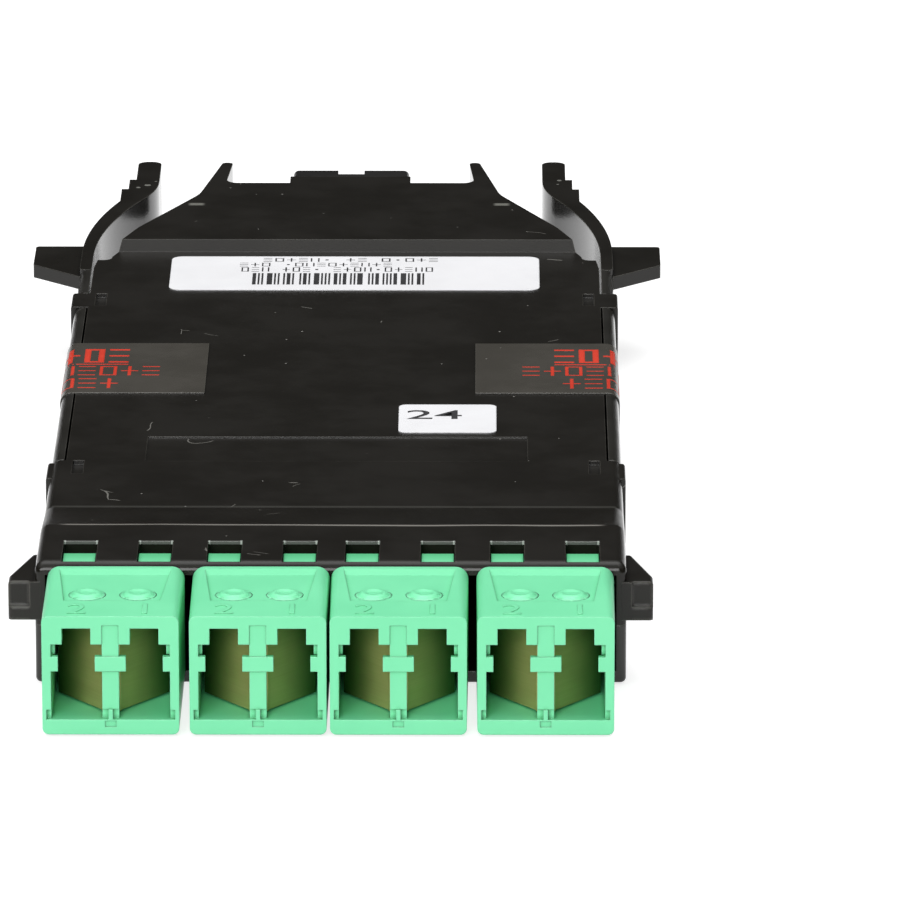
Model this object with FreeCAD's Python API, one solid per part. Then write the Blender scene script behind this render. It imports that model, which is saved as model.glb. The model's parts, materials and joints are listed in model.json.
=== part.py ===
import FreeCAD, Part
import math
import os

# Fibre cassette: a flat moulded housing with four shuttered duplex adapters in
# front, one multi-fibre adapter behind, and two sprung release arms.
# Millimetres.  X runs across, Y from front to rear, Z up.  While the pieces are
# made, Y counts from the adapters' front faces.  Each piece is then moved so that
# the origin is under the middle of the whole cassette.

V = FreeCAD.Vector

# ---- housing ---------------------------------------------------------------
adapter_reach = 15.5      # adapters' front faces to the collar's front face
collar_length = 12.0      # full-height collar round the adapters
ramp_length = 9.2         # slope from the collar down to the deck
deck_length = 90.1        # flat deck of the cover
step_length = 1.0         # slope from the deck up to the raised part
raised_length = 23.4      # raised rear part with its slope
side_margin = 1.3         # outer adapter's flank to the outside of the collar
collar_lip = 0.3          # top of the collar over the adapters' tops
collar_rise = 1.1         # top of the collar and of the raised part over the deck
parting_height = 5.7      # joint line of tray and cover
floor = 1.2               # tray floor
plate = 1.2               # cover plate
side_wall = 1.25          # tray's side bands and the arms
collar_wall = 0.95        # collar and skirts
rear_wall = 1.4           # walls of the tapered rear
groove = 0.2              # gap between the deck and a side band
plan_corner = 0.6         # collar corners seen from above
top_round = 1.0           # long top edges
rim_round = 0.45          # front rim of the collar
skirt_length = 36.5       # full-width front of the cover
skirt_gap = 0.2           # cover skirt to the start of a side band

# ---- tapered rear: insets from the deck's edge, places from the step's foot --
notch_before = 3.1        # bottom of the notch between body and arm
notch_relief = 0.3        # room for the arm's root as it bends
notch_round = 0.9
shoulder_inset = 1.75     # body beside the notch
shoulder_before = 1.9
shoulder_round = 1.5
flank_inset = 4.25
flank_after = 5.7
flank_round = 12.0
waist_inset = 10.25
waist_after = 18.8
waist_round = 8.0
horn_length = 8.2         # ears behind the rear edge
horn_inset = 12.4         # outer side of an ear's tip
horn_tip = 1.1            # width of an ear's tip
horn_taper = 0.55         # inner side of an ear's root inside its outer side
horn_round = 0.5
horn_root_round = 1.2
hood_half = 6.4           # cover tongue over the rear adapter
hood_length = 2.6

# ---- snap tabs, pockets and windows of the cover ---------------------------
rear_tab_before = 20.8    # rear tab's start before the step
tab_length = 5.0
tab_wall = 1.0
tab_proud = 0.35          # how far a tab stands out of the side
tab_drop = 2.1            # a tab's foot below the parting line
tab_round = 0.3
fit_gap = 0.1             # clearance of snap fits
pocket_inset = 0.65       # pocket's outer side in from the deck's edge
pocket_width = 1.1
pocket_length = 4.4
pocket_depth = 0.45
hole_length = 1.2
panel_half = 18.5         # shallow bare panel on the deck
panel_length = 8.2
panel_back = 36.3         # its start behind the collar's front face
panel_depth = 0.18
window_width = 3.2
window_length = 6.1
window_inset = 0.6
window_pitch = 7.05

# ---- front stops -----------------------------------------------------------
stop_drop = 0.8           # a stop's top below the deck
stop_height = 3.7
stop_reach = 2.5
stop_length = 8.5
stop_land = 2.2           # straight part of its outer side
stop_tail = 0.7           # its width at the rear
stop_root = 0.5
stop_ledge = 1.3          # height of the lower part
stop_ledge_depth = 0.25
stop_round = 0.4

# ---- duplex adapters -------------------------------------------------------
middle_gap = 0.3          # between the two inner adapters
adapter_gap = 0.95        # between an inner adapter and an outer one
adapter_wall = 0.825      # outer walls of the ports
adapter_roof = 1.17       # over the ports' keys
adapter_lift = 0.1        # adapters clear the ground by this
adapter_draft = 0.1       # each side grows by this toward the collar
face_corner = 0.6
back_corner = 1.2
face_gap = 0.2            # adapter shoulder to collar
neck_inset = 0.15         # shell's neck inside the collar, each side
neck_drop = 0.15          # neck below the collar's ceiling
neck_length = 4.2
boss_sink = 0.4           # snap bosses below the collar's top
boss_length = 3.45
port_pitch = 6.25
port_width = 4.7
sill = 1.43               # below the port
port_body = 4.66          # height of the square lower part
ledge_height = 1.41       # latch ledges
ledge_gap = 3.4           # between a port's ledges
slot_height = 1.19
key_width = 2.64
key_height = 1.54
mask = 1.9                # thickness of the shaped front wall
ledge_depth = 0.6
slot_block = 0.35         # width of the block behind a slot's outer end
block_set_back = 0.8
pad_depth = 0.12          # shallow pad on the rib's front
pad_rise = 0.3            # its top over the ports' keys
leaf_pocket = 0.4         # recess for the folded-back leaf
panel_inset = 1.85        # recessed panel on top of an adapter, side margin
panel_taper = 0.77
panel_front = 4.8
panel_rear = 13.3
panel_end = 14.6          # where its floor has run up to the top
panel_sink = 0.22
lens_length = 2.9
lens_width = 2.3
lens_rise = 0.2
lens_pitch = 4.7
lens_back = 7.2
foot_height = 0.95        # relief at the rib's foot
foot_depth = 0.5
foot_post = 0.4
corner_notch = 0.45
rib_set_back = 0.25       # lower half of the rib lies this far back
mark_width = 1.05
mark_height = 0.6
mark_depth = 0.12
mid_plane = 16.0          # where two ferrules meet
mid_wall = 1.3

# ---- sleeves, shutters, inner plugs ----------------------------------------
sleeve_outer = 0.83
sleeve_wall = 0.2
sleeve_half = 3.4
sleeve_slit = 0.3
sleeve_gap = 0.05
holder_wall = 0.6
holder_lip = 0.3
leaf_back = 2.5           # leaf pivot behind the front face
leaf_length = 7.0
leaf_thickness = 0.2
leaf_open_angle = 39.0    # leaf at rest, measured from the rib
leaf_roll = 0.28
leaf_gap = 0.12           # leaf to floor and ceiling
neck_wall = 1.2           # top of the neck over the rear insert
insert_wall = 0.4         # sides of the neck beside it
insert_length = 12.5
insert_gap = 0.05
plug_gap = 0.04           # plug in its inner port
plug_width = 4.5
plug_length = 10.0
ferrule = 0.625
boot = 1.3
boot_length = 7.0
boot_neck = 0.75

# ---- fibres ----------------------------------------------------------------
lead = 0.45
lead_pitch = 1.1
lead_slack = 1.6          # straight stretch at each end
block_length = 12.0
block_width = 9.0
block_height = 2.6
block_back = 69.0         # fan-out block's front behind the collar's front
ribbon_width = 2.2
ribbon_thickness = 0.32

# ---- rear multi-fibre adapter and its inner plug ---------------------------
rear_adapter_width = 12.4
rear_adapter_length = 21.5
rear_adapter_reach = 9.8
rear_port_width = 9.7
rear_port_height = 6.6
rear_port_depth = 10.4
rear_key_width = 2.8
rear_key_depth = 1.45
rear_key_drop = 0.9
rear_side_slot = 0.7
flange_width = 14.6
flange_length = 1.5
flange_back = 15.0        # flange's start before the adapter's rear end
housing_gap = 0.1
inner_port_width = 8.2
inner_port_height = 5.6
inner_plug_reach = 9.0
inner_boot_length = 9.0
inner_boot = 2.2
mt_width = 6.4
mt_height = 2.5
mt_reach = 3.0
pin_radius = 0.35
pin_pitch = 4.6
pin_reach = 2.0

# ---- release arms ----------------------------------------------------------
pivot_before = 6.2        # arm pivot before the step
knuckle_gap = 0.05
arm_bottom = 0.9
arm_straight = 5.9        # straight root of the arm, outside
arm_curve = 66.0          # outside radius
arm_turn = 18.0           # degrees turned where the thumb pad starts
arm_inner_straight = 4.4
arm_inner_curve = 60.0
arm_inner_turn = 22.5
pad_curve = 17.5          # radius that turns the inner side straight again
tooth_start = 4.8         # first tooth behind the end of the outside curve
tooth_count = 2
tooth_step = 0.72
tooth_pitch = 3.8
tooth_end = 7.3           # last tooth to the tip
pad_round = 1.1
fin_reach = 5.0
fin_drop = 0.8            # fin's top below the deck
fin_thickness = 1.4
fin_tip = 7.0
fin_root = 11.6
fin_back = 11.2           # fin's rear face behind the pivot
fin_round = 0.4

# ---- labels ----------------------------------------------------------------
film = 0.12
id_half = 19.05
id_length = 12.7
id_shift = 0.92           # to the right of the middle
id_before_step = 2.1
id_corner = 1.2
tag_width = 9.6
tag_length = 9.6
tag_centre = 10.7
tag_gap = 1.1             # bare panel to the small label
tag_corner = 0.8
seal_width = 14.2         # on the deck
seal_length = 17.6
seal_gap = 4.0            # small label to the seals
seal_drop = 6.5           # down the side band

# ---- places that follow from the sizes -------------------------------------
collar_face = adapter_reach
crest = collar_face + collar_length
deck_start = crest + ramp_length
step = deck_start + deck_length
rear_edge = step + raised_length
rear_end = rear_edge + rear_adapter_reach
skirt_end = collar_face + skirt_length
band_start = skirt_end + skirt_gap
pivot_y = step - pivot_before
notch_y = step - notch_before
front_tab = skirt_end - tab_length
rear_tab = step - rear_tab_before
panel_y = collar_face + panel_back
tag_y = panel_y + panel_length + tag_gap
seal_y = tag_y + tag_length + seal_gap
id_y = step - id_before_step - id_length

port_floor = adapter_lift + sill
ledge_z = port_floor + port_body
slot_z = ledge_z + ledge_height
key_z = slot_z + slot_height
port_top = key_z + key_height
bore_z = port_floor + port_body / 2
adapter_top = port_top + adapter_roof
collar_height = adapter_top + collar_lip
deck_height = collar_height - collar_rise
cavity_top = collar_height - plate
neck_top = cavity_top - neck_drop
stop_top = deck_height - stop_drop
fin_top = deck_height - fin_drop
tab_bottom = parting_height - tab_drop
rear_adapter_top = cavity_top - housing_gap

adapter_width = port_pitch + port_width + 2 * adapter_wall
inner_place = (adapter_width + middle_gap) / 2
outer_place = inner_place + adapter_width + adapter_gap
adapter_places = [-outer_place, -inner_place, inner_place, outer_place]
adapter_count = len(adapter_places)
rib_half = (port_pitch - port_width) / 2
neck_half = adapter_width / 2 - neck_inset
insert_half = neck_half - insert_wall
body_half = outer_place + adapter_width / 2 + side_margin
deck_half = body_half - side_wall - groove
arm_middle = body_half - side_wall / 2
shoulder_half = deck_half - shoulder_inset
horn_half = deck_half - horn_inset
overlap = 1.0             # how far a cutting tool runs past a face
closeness = 1e-6          # points nearer than this are one point
mitred = 1                # how a swept tube turns its corners


def box(x0, x1, y0, y1, z0, z1):
    """Block between two corners."""
    return Part.makeBox(x1 - x0, y1 - y0, z1 - z0, V(x0, y0, z0))


def corner_points(before, corner, after, radius):
    """Start, middle and end of the arc that rounds one corner of an outline."""
    to_before = (before - corner).normalize()
    to_after = (after - corner).normalize()
    half_angle = to_before.getAngle(to_after) / 2
    reach = radius / math.tan(half_angle)
    bisector = (to_before + to_after).normalize()
    centre = corner + bisector * (radius / math.sin(half_angle))
    return corner + to_before * reach, centre - bisector * radius, corner + to_after * reach


def joined_face(stretches):
    """Closed face from corners and arcs of three points, with lines where they don't meet."""
    edges = []
    for i in range(len(stretches)):
        here = stretches[i - 1]
        after = stretches[i]
        if not here[-1].isEqual(after[0], closeness):
            edges.append(Part.makeLine(here[-1], after[0]))
        if len(after) > 1:
            edges.append(Part.Arc(*after).toShape())
    return Part.Face(Part.Wire(edges))


def outline(points):
    """Closed face in the XY plane; each point is x, y and its corner radius."""
    corners = [V(x, y, 0) for x, y, radius in points]
    count = len(points)
    stretches = []
    for i in range(count):
        radius = points[i][2]
        if radius > 0:
            stretches.append(corner_points(corners[i - 1], corners[i], corners[(i + 1) % count], radius))
        else:
            stretches.append((corners[i],))
    return joined_face(stretches)


def slab(points, z0, z1):
    """Outline in plan, from one height to another."""
    shape = outline(points).extrude(V(0, 0, z1 - z0))
    shape.translate(V(0, 0, z0))
    return shape


def side_prism(points, half_width):
    """Closed profile of y and z, across the whole width."""
    corners = [V(-half_width, y, z) for y, z in points]
    face = Part.Face(Part.makePolygon(corners + corners[:1]))
    return face.extrude(V(2 * half_width, 0, 0))


def front_profile(points, y0, y1):
    """Outline given as x, z and corner radius, carried from y0 to y1."""
    face = outline(points)
    face.rotate(V(0, 0, 0), V(1, 0, 0), 90)
    face.translate(V(0, y0, 0))
    return face.extrude(V(0, y1 - y0, 0))


def rod(radius, start, end):
    """Round bar between two points."""
    along = end - start
    return Part.makeCylinder(radius, along.Length, start, along)


def mirrored(shape):
    """The same shape on the other side of the middle plane."""
    return shape.mirror(V(0, 0, 0), V(1, 0, 0))


def both_sides(shape):
    """A shape and its mirror image."""
    return shape.fuse(mirrored(shape))


def round_edges(shape, radius, wanted):
    """Fillet the edges whose bounding box passes a test."""
    edges = [edge for edge in shape.Edges if wanted(edge.BoundBox)]
    return shape.makeFillet(radius, edges) if edges else shape


def rounded_rectangle(half_width, z0, z1, radius):
    """Outline of a rectangle with four round corners, as x, z, radius."""
    return [(-half_width, z0, radius), (half_width, z0, radius),
            (half_width, z1, radius), (-half_width, z1, radius)]


# ---- housing ---------------------------------------------------------------
def rear_half(inset):
    """Right half of the tapered rear's outline, from the notch to the ears' roots."""
    return [(shoulder_half - inset, step - shoulder_before, shoulder_round),
            (deck_half - flank_inset - inset, step + flank_after, flank_round),
            (deck_half - waist_inset - inset, step + waist_after, waist_round)]


def notch_half():
    """Right half of the outline from the arm's pivot round the notch beside the arm."""
    return [(deck_half, pivot_y, 0), (deck_half - notch_relief, notch_y, 0),
            (shoulder_half, notch_y, notch_round)]


def mirrored_outline(right):
    """Whole outline from its right half, which runs from front to rear."""
    left = [(-x, y, radius) for x, y, radius in reversed(right)]
    return right + left


def tray_outline():
    """Plan of the tray, with its side bands but without the arms."""
    right = [(body_half, collar_face, plan_corner), (body_half, pivot_y, 0)]
    right += notch_half() + rear_half(0)
    right += [(horn_half, rear_edge, 0)]
    return mirrored_outline(right)


def tray_cavity():
    """Inside of the tray: wide at the adapters, then between the bands, then tapered."""
    right = [(body_half - collar_wall, collar_face - overlap, 0), (body_half - collar_wall, crest, 0),
             (body_half - side_wall, crest, 0), (body_half - side_wall, pivot_y - side_wall, 0),
             (shoulder_half - rear_wall, notch_y - side_wall, 0)]
    right += rear_half(rear_wall)
    right += [(horn_half - rear_wall, rear_edge - rear_wall, 0)]
    return slab(mirrored_outline(right), floor, collar_height)


def side_band():
    """Full-height side band, rounded along its outer top edge."""
    band = box(body_half - side_wall, body_half, band_start, pivot_y, floor, deck_height)
    band = round_edges(band, top_round, lambda b: b.XMin > body_half - fit_gap
                       and b.ZMin > deck_height - fit_gap)
    return band


def tab_recess(start):
    """Room for a snap tab in the outside of the tray."""
    return box(body_half - tab_wall + tab_proud - fit_gap, body_half + overlap,
               start - fit_gap, start + tab_length + fit_gap, tab_bottom - fit_gap, collar_height)


def bridge_recess():
    """Low place in a side band where a rear tab crosses it."""
    return box(body_half - side_wall - overlap, body_half + overlap, rear_tab - fit_gap,
               rear_tab + tab_length + fit_gap, deck_height - plate - fit_gap, collar_height)


def rear_opening():
    """Way out of the housing for the rear adapter."""
    return box(-rear_adapter_width / 2 - housing_gap, rear_adapter_width / 2 + housing_gap,
               rear_edge - rear_wall - overlap, rear_edge + overlap, floor, cavity_top)


def flange_rib():
    """Pair of floor ribs that hold the rear adapter's flange."""
    front = rear_end - flange_back - housing_gap
    back = front + flange_length + 2 * housing_gap
    side = rear_adapter_width / 2 + housing_gap
    ribs = []
    for y0 in (front - plate, back):
        ribs.append(box(side, flange_width / 2 + plate, y0, y0 + plate, floor, parting_height))
    return ribs[0].fuse(ribs[1])


def base_tray():
    """Lower moulding: floor, side bands, low collar and tapered rear walls."""
    tray = slab(tray_outline(), 0, parting_height)
    tray = round_edges(tray, rim_round, lambda b: b.ZMax < fit_gap and b.YMax < pivot_y - fit_gap)
    bands = both_sides(side_band())
    tray = tray.fuse(bands).cut(tray_cavity())
    socket = Part.makeCylinder(side_wall / 2 + knuckle_gap, collar_height + overlap,
                               V(arm_middle, pivot_y, -overlap))
    recesses = [tab_recess(front_tab), tab_recess(rear_tab), bridge_recess()]
    tray = tray.cut([both_sides(socket)] + [both_sides(recess) for recess in recesses])
    tray = tray.fuse(both_sides(flange_rib()))
    tray = tray.cut(rear_opening())
    return tray.removeSplitter()


def cover_profile(drop):
    """Side profile of the cover's top, lowered by a wall thickness."""
    low = parting_height - drop
    return [(collar_face - drop, low), (collar_face - drop, collar_height - drop),
            (crest, collar_height - drop), (deck_start, deck_height - drop),
            (step + drop / 2, deck_height - drop), (step + step_length + drop / 2, collar_height - drop)]


def cover_outline():
    """Plan of the cover: full width in front, between the bands, then tapered with ears."""
    right = [(body_half, collar_face, plan_corner), (body_half, skirt_end, 0), (deck_half, skirt_end, 0)]
    right += notch_half() + rear_half(0)
    right += [(horn_half, rear_edge + horn_length, horn_round),
              (horn_half - horn_tip, rear_edge + horn_length, horn_round),
              (horn_half - horn_taper, rear_edge, horn_root_round),
              (hood_half, rear_edge, 0), (hood_half, rear_edge + hood_length, 0)]
    return mirrored_outline(right)


def rim_waste():
    """What rounding takes off the collar's front top edge."""
    back = collar_face + rim_round
    low = collar_height - rim_round
    width = 2 * body_half
    corner = box(-body_half, body_half, collar_face - overlap, back, low, collar_height + overlap)
    return corner.cut(Part.makeCylinder(rim_round, width, V(-body_half, back, low), V(1, 0, 0)))


def cover_cavity():
    """Inside of the cover."""
    top = cover_profile(plate)
    top += [(rear_edge - rear_wall, collar_height - plate), (rear_edge - rear_wall, parting_height - plate)]
    wide_end = skirt_end - plate
    right = [(body_half - collar_wall, collar_face - overlap, 0), (body_half - collar_wall, crest, 0),
             (body_half - side_wall, crest, 0), (body_half - side_wall, wide_end, 0),
             (shoulder_half - rear_wall, wide_end, 0)]
    right += rear_half(rear_wall)
    right += [(horn_half - rear_wall, rear_edge, 0)]
    inside = side_prism(top, body_half).common(slab(mirrored_outline(right), 0, collar_height))
    under_deck = box(-body_half, body_half, skirt_end, pivot_y - side_wall,
                     parting_height - overlap, deck_height - plate)
    under_hood = box(-body_half, body_half, rear_edge, rear_edge + hood_length + overlap,
                     parting_height - overlap, cavity_top)
    hood_sides = under_hood.common(box(-hood_half - fit_gap, hood_half + fit_gap, rear_edge,
                                       rear_end, 0, collar_height))
    return inside.fuse(under_deck).fuse(hood_sides)


def snap_tab(start, wrap):
    """Tab that grips the side of the tray; a rear one also crosses a side band."""
    outer = body_half + tab_proud
    tab = box(outer - tab_wall, outer, start, start + tab_length, tab_bottom, deck_height - tab_round)
    if wrap:
        bridge = box(deck_half - overlap, outer, start, start + tab_length, deck_height - plate, deck_height)
        tab = tab.fuse(bridge).removeSplitter()
    return round_edges(tab, tab_round, lambda b: b.XMin > outer - fit_gap)


def side_pocket(start):
    """Shallow pocket beside a tab, with a hole through its front end."""
    outer = deck_half - pocket_inset
    inner = outer - pocket_width
    rear = start + tab_length
    front = rear - pocket_length
    pocket = box(inner, outer, front, rear, deck_height - pocket_depth, collar_height)
    hole = box(inner, outer, front, front + hole_length, deck_height - plate - overlap, deck_height)
    return pocket.fuse(hole)


def windows():
    """Openings in the collar's top for the adapters' snap bosses."""
    cuts = []
    start = collar_face + window_inset
    for centre in adapter_places:
        for side in (-1, 1):
            middle = centre + side * window_pitch / 2
            cuts.append(box(middle - window_width / 2, middle + window_width / 2,
                            start, start + window_length, cavity_top - overlap, collar_height + overlap))
    return cuts


def front_stop():
    """Wedge on the collar's side with a square front face and a small ledge below."""
    root = body_half - stop_root
    tip = body_half + stop_reach
    rear = collar_face + stop_length
    points = [(root, collar_face, 0), (tip, collar_face, 0), (tip, collar_face + stop_land, 0),
              (body_half + stop_tail, rear, 0), (root, rear, 0)]
    wedge = slab(points, stop_top - stop_height, stop_top)
    wedge = round_edges(wedge, stop_round, lambda b: b.XMin > body_half + stop_tail - fit_gap
                        and (b.ZMin > stop_top - fit_gap and b.YLength > fit_gap or b.ZLength > fit_gap))
    ledge = box(body_half + stop_root, tip + overlap, collar_face - overlap, collar_face + stop_ledge_depth,
                stop_top - stop_height + stop_ledge, stop_top + overlap)
    return wedge.cut(ledge)


def top_cover():
    """Upper moulding: windowed collar, deck, raised rear with ears, and four snap tabs."""
    profile = cover_profile(0)
    far = rear_edge + horn_length + overlap
    profile += [(far, collar_height), (far, parting_height)]
    cover = side_prism(profile, body_half).common(slab(cover_outline(), parting_height, collar_height))
    cover = round_edges(cover, top_round, lambda b: b.XLength < fit_gap and b.YLength > fit_gap
                        and abs(b.Center.x) > body_half - fit_gap and b.ZMax > deck_height - fit_gap)
    cover = cover.cut([rim_waste(), cover_cavity()] + windows())
    cover = cover.cut(rear_opening())
    cover = cover.fuse([both_sides(snap_tab(front_tab, False)), both_sides(snap_tab(rear_tab, True)),
                        both_sides(front_stop())])
    cover = cover.cut([both_sides(side_pocket(front_tab)), both_sides(side_pocket(rear_tab))])
    panel = box(-panel_half, panel_half, panel_y, panel_y + panel_length,
                deck_height - panel_depth, collar_height)
    return cover.cut(panel).removeSplitter()


# ---- release arms ----------------------------------------------------------
def bend(start, radius, heading, turn):
    """Three points of an arc that leaves start at heading, in degrees from +Y toward -X."""
    signed = math.copysign(radius, turn)

    def spoke(angle):
        return V(math.cos(math.radians(angle)), math.sin(math.radians(angle)), 0) * signed

    centre = start - spoke(heading)
    return start, centre + spoke(heading + turn / 2), centre + spoke(heading + turn)


def arm_plan():
    """Plan of the right-hand arm: round knuckle, curved wall and toothed thumb pad."""
    inside = body_half - side_wall
    knuckle = (V(inside, pivot_y, 0), V(arm_middle, pivot_y - side_wall / 2, 0), V(body_half, pivot_y, 0))
    outer = bend(V(body_half, pivot_y + arm_straight, 0), arm_curve, 0, arm_turn)
    stretches = [knuckle, outer]
    x = outer[-1].x
    y = outer[-1].y + tooth_start
    for i in range(tooth_count):
        stretches += [(V(x, y, 0),), (V(x - tooth_step, y, 0),)]
        x -= tooth_step
        y += tooth_pitch
    tip = y - tooth_pitch + tooth_end
    inner = bend(V(inside, pivot_y + arm_inner_straight, 0), arm_inner_curve, 0, arm_inner_turn)
    straight = bend(inner[-1], pad_curve, arm_inner_turn, -arm_inner_turn)
    pad_side = straight[-1]
    corner = V(x, tip, 0)
    far_corner = V(pad_side.x, tip, 0)
    stretches.append(corner_points(V(x, y - tooth_pitch, 0), corner, far_corner, pad_round))
    stretches.append(corner_points(corner, far_corner, pad_side, pad_round))
    stretches += [tuple(reversed(straight)), tuple(reversed(inner))]
    return joined_face(stretches)


def arm_fin():
    """Flat wing on the outside of the right-hand arm; its rear face locks in the tray."""
    rear = pivot_y + fin_back
    points = [(arm_middle, rear, 0), (body_half + fin_reach, rear, fin_round),
              (body_half + fin_reach, rear - fin_tip, fin_round), (body_half, rear - fin_root, 0),
              (body_half, pivot_y, 0), (arm_middle, pivot_y, 0)]
    return slab(points, fin_top - fin_thickness, fin_top)


def release_arm():
    """Right-hand release arm."""
    arm = arm_plan().extrude(V(0, 0, deck_height - arm_bottom))
    arm.translate(V(0, 0, arm_bottom))
    return arm.fuse(arm_fin()).removeSplitter()


# ---- duplex adapters -------------------------------------------------------
def adapter_skin():
    """Outside of an adapter from its front face to the collar, with drafted sides."""
    sections = []
    for y, half, radius in ((0, adapter_width / 2, face_corner),
                            (adapter_reach - face_gap, adapter_width / 2 + adapter_draft, back_corner)):
        face = outline(rounded_rectangle(half, adapter_lift, adapter_top, radius))
        face.rotate(V(0, 0, 0), V(1, 0, 0), 90)
        face.translate(V(0, y, 0))
        sections.append(face.OuterWire)
    return Part.makeLoft(sections, True, True)


def port_cut(side):
    """Shaped mouth and square chamber of one port."""
    centre = side * port_pitch / 2
    half = port_width / 2
    mouth = [(-half, port_floor), (half, port_floor), (half, ledge_z), (ledge_gap / 2, ledge_z),
             (ledge_gap / 2, slot_z), (half, slot_z), (half, key_z), (key_width / 2, key_z),
             (key_width / 2, port_top), (-key_width / 2, port_top), (-key_width / 2, key_z),
             (-half, key_z), (-half, slot_z), (-ledge_gap / 2, slot_z), (-ledge_gap / 2, ledge_z),
             (-half, ledge_z)]
    shaped = front_profile([(centre + x, z, 0) for x, z in mouth], -overlap, mask)
    rib_side = centre - side * (half + leaf_pocket)
    wall_side = centre + side * half
    chamber = box(min(rib_side, wall_side), max(rib_side, wall_side), mask, mid_plane - mid_wall,
                  port_floor, port_top)
    behind_ledges = box(centre - half, centre + half, ledge_depth, mask, ledge_z, slot_z)
    return shaped.fuse([chamber, behind_ledges])


def slot_stop():
    """Small block that shows in the outer end of a latch slot."""
    wall = (port_pitch + port_width) / 2
    return box(wall - slot_block, wall, block_set_back, mask, slot_z, key_z)


def rib_relief():
    """Set-back of the middle rib's lower half and the recess at its foot."""
    set_back = box(-rib_half, rib_half, -overlap, rib_set_back, port_floor + foot_height, ledge_z)
    foot = box(-rib_half, rib_half, -overlap, foot_depth, port_floor, port_floor + foot_height)
    post = box(-foot_post / 2, foot_post / 2, -overlap, foot_depth, port_floor, port_floor + foot_height)
    return set_back.fuse(foot.cut(post))


def wall_notch():
    """Small step at the foot of an outer wall's front edge."""
    wall = port_pitch / 2 + port_width / 2
    return box(wall - overlap, wall + corner_notch, -overlap, foot_depth, port_floor, port_floor + foot_height)


def rib_pad():
    """Shallow recess on the rib's front, from the slots' foot to over the keys."""
    return box(-rib_half, rib_half, -overlap, pad_depth, slot_z, port_top + pad_rise)


def lens(x):
    """Low rise on the adapter's top with a curved crown."""
    low = adapter_top - panel_sink
    reach = lens_length / 2
    crown = Part.Arc(V(x - reach, lens_back, low), V(x, lens_back, low + lens_rise), V(x + reach, lens_back, low))
    foot = Part.makeLine(V(x + reach, lens_back, low), V(x - reach, lens_back, low))
    rise = Part.Face(Part.Wire([crown.toShape(), foot])).extrude(V(0, lens_width, 0))
    rise.translate(V(0, -lens_width / 2, 0))
    return rise


def top_panel():
    """Tapered recess on the adapter's top, which runs out in a slope behind."""
    low = adapter_top - panel_sink
    high = adapter_top + overlap
    side = [(panel_front, low), (panel_rear, low), (panel_end, adapter_top), (panel_end, high),
            (panel_front, high)]
    narrow = adapter_width / 2 - panel_inset
    wide = narrow + panel_taper
    plan = [(-narrow, panel_front, 0), (narrow, panel_front, 0), (wide, panel_end, 0), (-wide, panel_end, 0)]
    return side_prism(side, adapter_width / 2).common(slab(plan, low - overlap, high))


def holder(y0, y1):
    """Pair of round holders that carry the alignment sleeves."""
    radius = sleeve_outer + sleeve_gap + holder_wall
    tubes = []
    for side in (-1, 1):
        x = side * port_pitch / 2
        tubes.append(rod(radius, V(x, y0, bore_z), V(x, y1, bore_z)))
    return tubes


def sleeve_bores():
    """Bores for the sleeves, with a smaller mouth at each end."""
    cuts = []
    reach = sleeve_half + sleeve_gap
    for side in (-1, 1):
        x = side * port_pitch / 2
        cuts.append(rod(sleeve_outer + sleeve_gap, V(x, mid_plane - reach, bore_z), V(x, mid_plane + reach, bore_z)))
        cuts.append(rod(ferrule + sleeve_gap, V(x, mid_plane - reach - holder_lip - overlap, bore_z),
                        V(x, mid_plane + reach + holder_lip + overlap, bore_z)))
    return cuts


def front_shell():
    """Front half of a duplex adapter: hood, two ports, rib, neck and snap bosses."""
    neck_start = adapter_reach - face_gap
    neck_end = adapter_reach + neck_length
    neck = box(-neck_half, neck_half, neck_start - overlap, neck_end, floor, neck_top)
    shell = adapter_skin().fuse(neck)
    boss_start = adapter_reach + window_inset + fit_gap
    for side in (-1, 1):
        middle = side * window_pitch / 2
        reach = window_width / 2 - fit_gap
        shell = shell.fuse(box(middle - reach, middle + reach, boss_start, boss_start + boss_length,
                               neck_top - overlap, collar_height - boss_sink))
    shell = shell.cut([port_cut(-1), port_cut(1), rib_relief(), rib_pad(), both_sides(wall_notch()),
                       top_panel()])
    shell = shell.fuse([lens(-lens_pitch / 2), lens(lens_pitch / 2), both_sides(slot_stop())])
    holder_front = mid_plane - sleeve_half - sleeve_gap - holder_lip
    shell = shell.fuse(holder(holder_front, mid_plane))
    pocket = box(-insert_half, insert_half, mid_plane, neck_end + overlap, 0, neck_top - neck_wall)
    mark = box(-mark_width / 2, mark_width / 2, -overlap, mark_depth,
               adapter_lift + sill / 2, adapter_lift + sill / 2 + mark_height)
    shell = shell.cut([pocket, mark] + sleeve_bores())
    return shell.removeSplitter()


def rear_shell():
    """Rear half of a duplex adapter: an insert with two square inner ports."""
    gap = insert_gap
    half = insert_half - gap
    body = box(-half, half, mid_plane + gap, mid_plane + insert_length, floor, neck_top - neck_wall - gap)
    chambers = []
    reach = plug_width / 2 + plug_gap
    for side in (-1, 1):
        x = side * port_pitch / 2
        chambers.append(box(x - reach, x + reach, mid_plane + mid_wall,
                            mid_plane + insert_length + overlap, bore_z - reach, bore_z + reach))
    body = body.cut(chambers)
    holder_end = mid_plane + sleeve_half + sleeve_gap + holder_lip
    body = body.fuse(holder(mid_plane + gap, holder_end))
    body = body.cut(sleeve_bores())
    return body.removeSplitter()


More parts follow.
